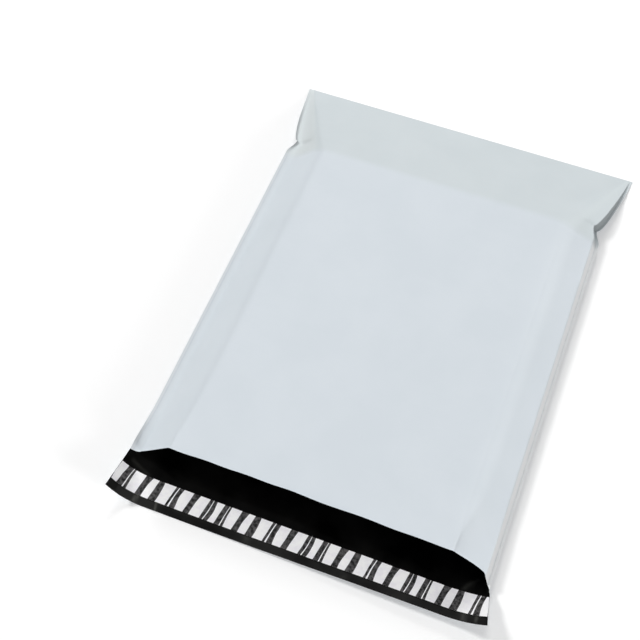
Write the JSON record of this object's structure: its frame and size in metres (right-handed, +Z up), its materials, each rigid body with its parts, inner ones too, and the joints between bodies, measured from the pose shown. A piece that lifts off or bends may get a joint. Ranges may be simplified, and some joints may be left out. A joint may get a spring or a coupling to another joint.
{
  "type": "poly mailer",
  "caption": "Soft plastic film mailing bag lying open on its back, white outside and black inside, with welded sides and a lip carrying an adhesive band under a printed liner.",
  "frame": {"origin": "centre of the bounding box at its base, on the surface the bag lies on", "axes": "+X across the bag to the right as seen from the mouth, +Y from the mouth and lip towards the folded end, +Z up out of the front panel"},
  "size_m": [0.3682, 0.5196, 0.032],
  "materials": {
    "white_film": "satin white film, black on its inner side",
    "adhesive": "clear tacky hot-melt",
    "liner_film": "glossy white film printed with dark slanted bars"
  },
  "bodies": {
    "root": {"film_bag": "white_film", "adhesive_strip": "adhesive", "release_liner": "liner_film"}
  },
  "joints": []
}
